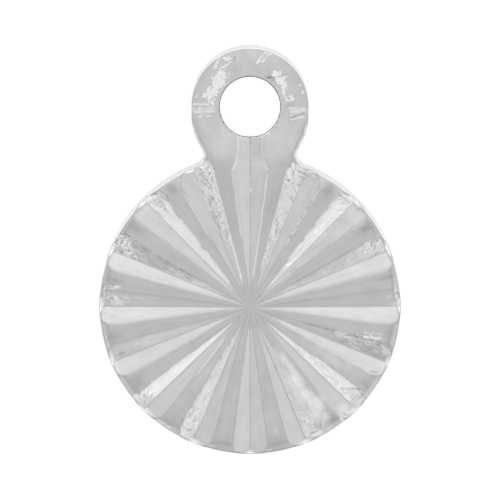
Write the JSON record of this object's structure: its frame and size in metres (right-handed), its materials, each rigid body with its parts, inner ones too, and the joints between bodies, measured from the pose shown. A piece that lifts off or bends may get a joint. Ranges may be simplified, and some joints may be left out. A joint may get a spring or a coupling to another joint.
{
  "type": "disc pendant",
  "caption": "Small round cast pendant charm with a fluted sunburst face, a flat back and a drilled hanging loop on a short neck.",
  "frame": {"origin": "centre of the disc on its flat back", "axes": "+Z out of the fluted face, +Y from the disc to the loop"},
  "size_m": [0.012, 0.0163, 0.0013],
  "materials": {
    "silver": "bright silver plating on a soft-edged casting, satin in the flutes"
  },
  "bodies": {
    "root": {"disc_pendant": "silver"}
  },
  "joints": []
}
